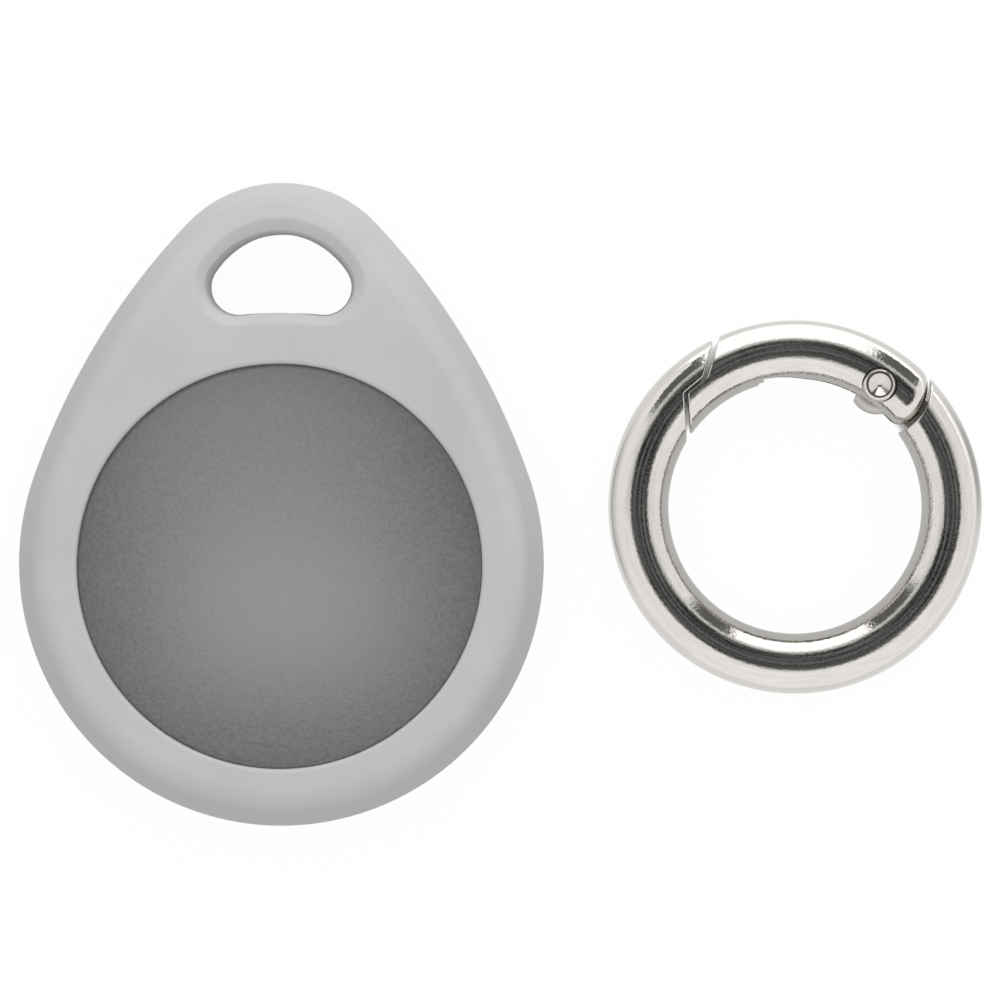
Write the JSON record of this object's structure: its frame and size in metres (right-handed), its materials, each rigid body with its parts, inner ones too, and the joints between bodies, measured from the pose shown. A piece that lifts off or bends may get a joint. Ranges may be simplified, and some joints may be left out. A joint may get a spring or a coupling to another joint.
{
  "type": "tracker tag holder",
  "caption": "Teardrop silicone sleeve with a window and a loop hole, holding a coin tracker tag, with a round spring-gate ring beside it for clipping to keys or a bag.",
  "frame": {"origin": "on the tag's axis, in the plane of the sleeve's back face, at the rear window", "axes": "+Z from the back to the front of the holder, +Y from the tag towards the loop, +X from the holder towards the loose ring; the holder and the ring lie face up as pictured"},
  "size_m": [0.0723, 0.0483, 0.0094],
  "materials": {
    "silicone": "matte moulded silicone",
    "cover_plastic": "fine-grained, satin",
    "door_steel": "fine-blasted stainless steel",
    "gasket_rubber": "matte",
    "frame_plastic": "matte",
    "cell_steel": "bright nickel-plated",
    "seal_plastic": "natural",
    "electrode_mass": "pressed powder",
    "contact_bronze": "sprung sheet, plated",
    "board_laminate": "solder-resist lacquer",
    "chip_resin": "moulded resin",
    "component_ceramic": "fired ceramic",
    "antenna_copper": "plated track",
    "sounder_brass": "rolled sheet",
    "piezo_ceramic": "silvered ceramic",
    "plated_zinc": "bright nickel plate over cast zinc",
    "rivet_steel": "bright plated, punched head",
    "spring_steel": "drawn wire"
  },
  "bodies": {
    "holder": {"holder_sleeve": "silicone"},
    "tag": {"tag_front_cover": "cover_plastic", "tag_frame": "frame_plastic", "cell_can": "cell_steel", "cell_cap": "cell_steel", "cell_seal": "seal_plastic", "cell_electrodes": "electrode_mass", "negative_contact": "contact_bronze", "positive_contact": "contact_bronze", "circuit_board": "board_laminate", "radio_chip": "chip_resin", "board_parts": "component_ceramic", "antenna_ring": "antenna_copper", "sounder_plate": "sounder_brass", "sounder_ceramic": "piezo_ceramic", "sounder_contacts": "contact_bronze"},
    "battery_door": {"battery_door": "door_steel", "door_gasket": "gasket_rubber"},
    "ring": {"ring_body": "plated_zinc"},
    "gate": {"ring_gate": "plated_zinc", "gate_rivet": "rivet_steel", "gate_spring": "spring_steel"}
  },
  "joints": [
    {"name": "tag_pop_out", "type": "slide", "parent": "holder", "child": "tag", "axis": [0, 0, 1], "range_m": [0, 0.012], "deforming": ["holder_sleeve"]},
    {"name": "door_twist", "type": "hinge", "parent": "tag", "child": "battery_door", "pos_m": [0, 0, 0.0013], "axis": [0, 0, -1], "range_deg": [0, 30]},
    {"name": "ring_lift", "type": "slide", "parent": "holder", "child": "ring", "axis": [0, 0, 1], "range_m": [0, 0.02]},
    {"name": "gate_open", "type": "hinge", "parent": "ring", "child": "gate", "pos_m": [0.04491, 0.01359, 0.00227], "axis": [0, 0, 1], "range_deg": [0, 34], "stiffness_Nm_per_rad": 0.02, "springref_deg": -20.05, "deforming": ["gate_spring"]}
  ]
}
